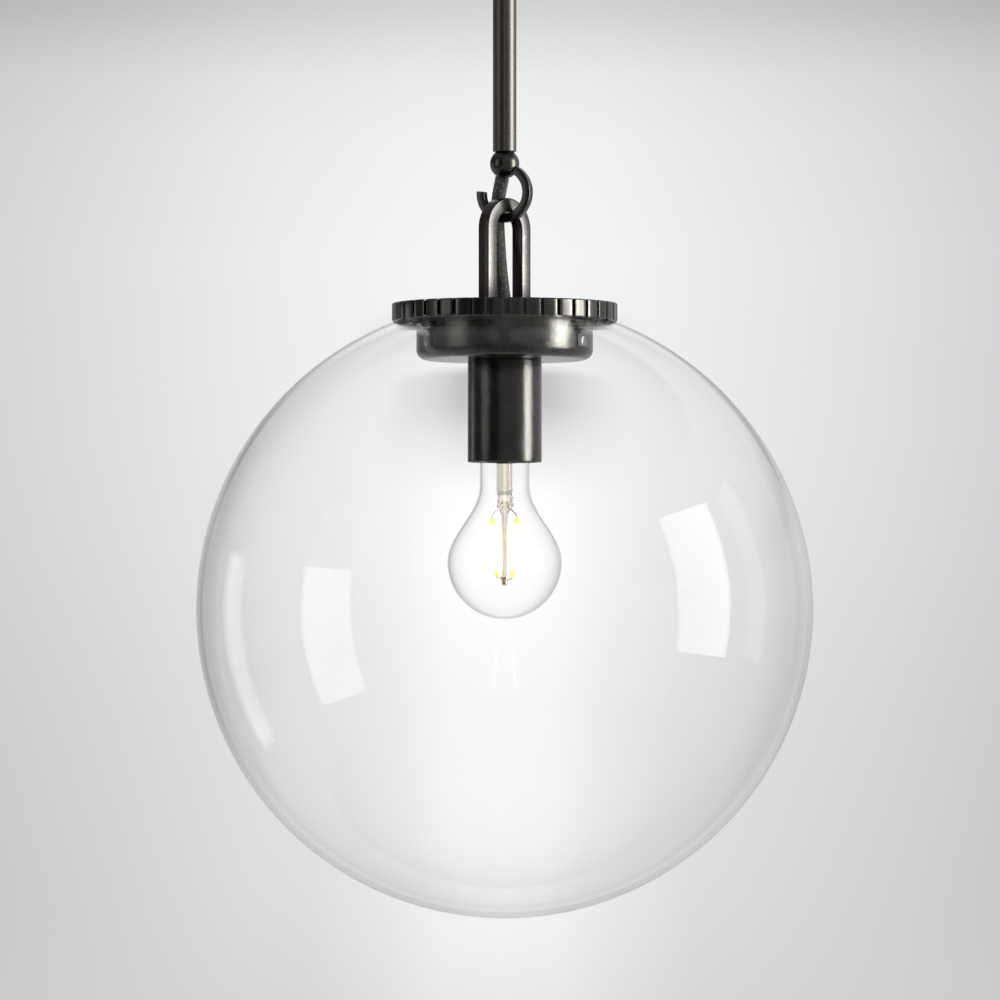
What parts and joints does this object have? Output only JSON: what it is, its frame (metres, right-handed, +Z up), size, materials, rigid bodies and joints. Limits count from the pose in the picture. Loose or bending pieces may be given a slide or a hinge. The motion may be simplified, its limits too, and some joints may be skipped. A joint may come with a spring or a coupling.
{
  "type": "pendant ceiling light",
  "caption": "Ceiling pendant with a clear glass globe, notched disc, hanging loop on an open hook, round stem, cloth cord and filament lamp.",
  "frame": {"origin": "centre of the mounting strap's top face, on the ceiling plane", "axes": "+Z up to the ceiling; -Y is the front of the lamp; +X is to the right seen from the front"},
  "size_m": [0.3554, 0.3554, 0.6324],
  "materials": {
    "blackened_bronze": "satin gunmetal, brushed",
    "plated_steel": "zinc plated",
    "spring_steel": "satin",
    "brass": "plain",
    "braided_cord": "braided cotton over wires",
    "lead_black": "satin",
    "lead_white": "satin",
    "lead_green": "satin",
    "connector_plastic": "ribbed",
    "porcelain": "glazed",
    "silicone": "translucent",
    "clear_glass": "clear, blown",
    "lamp_glass": "clear",
    "filament": "phosphor coating, lit",
    "black_glass": "fused black glass",
    "circuit_board": "solder mask"
  },
  "bodies": {
    "canopy": {"canopy_dish": "blackened_bronze", "mounting_strap": "plated_steel", "canopy_screw_1": "plated_steel", "canopy_screw_2": "plated_steel", "cap_nut_1": "blackened_bronze", "cap_nut_2": "blackened_bronze", "ground_screw": "lead_green", "swivel_seat": "blackened_bronze"},
    "stem": {"swivel_ball": "plated_steel", "stem_tube": "blackened_bronze", "hook_end": "blackened_bronze", "cord_in_stem": "braided_cord", "lead_live": "lead_black", "lead_neutral": "lead_white", "lead_ground": "lead_green", "wire_connector_1": "connector_plastic", "wire_connector_2": "connector_plastic", "wire_connector_3": "connector_plastic"},
    "shade": {"hanger_loop": "blackened_bronze", "loop_washer_1": "plated_steel", "loop_washer_2": "plated_steel", "loop_nut_1": "plated_steel", "loop_nut_2": "plated_steel", "gallery_disc": "blackened_bronze", "center_nipple": "plated_steel", "cord_free": "braided_cord", "collar_cup": "blackened_bronze", "globe_clip_1": "spring_steel", "globe_clip_2": "spring_steel", "globe_clip_3": "spring_steel", "clip_rivet_1": "plated_steel", "clip_rivet_2": "plated_steel", "clip_rivet_3": "plated_steel", "globe_gasket": "silicone", "socket_cup": "blackened_bronze", "cup_locknut": "plated_steel", "socket_cap": "brass", "socket_body": "porcelain", "socket_screw_shell": "brass", "socket_contact": "brass", "terminal_screw_1": "brass", "terminal_screw_2": "brass", "socket_lead_1": "lead_black", "socket_lead_2": "lead_white"},
    "globe": {"glass_globe": "clear_glass"},
    "bulb": {"bulb_contact": "brass", "bulb_base_insulator": "black_glass", "bulb_base_shell": "plated_steel", "bulb_driver_board": "circuit_board", "bulb_glass": "lamp_glass", "bulb_stem": "lamp_glass", "filament_1": "filament", "filament_2": "filament", "filament_3": "filament", "filament_4": "filament", "filament_hub": "plated_steel"}
  },
  "joints": [
    {"name": "stem_swing", "type": "hinge", "parent": "canopy", "child": "stem", "pos_m": [0, 0, -0.025], "axis": [0, 1, 0], "range_deg": [-20, 20]},
    {"name": "shade_swing", "type": "hinge", "parent": "stem", "child": "shade", "pos_m": [0, 0, -0.2287], "axis": [0.8988, -0.4384, 0], "range_deg": [-30, 30], "deforming": ["cord_free"]},
    {"name": "globe_drop", "type": "slide", "parent": "shade", "child": "globe", "axis": [0, 0, -1], "range_m": [0, 0.2], "deforming": ["globe_clip_1", "globe_clip_2", "globe_clip_3"]},
    {"name": "bulb_unscrew", "type": "slide", "parent": "shade", "child": "bulb", "axis": [0, 0, -1], "range_m": [0, 0.03]}
  ]
}
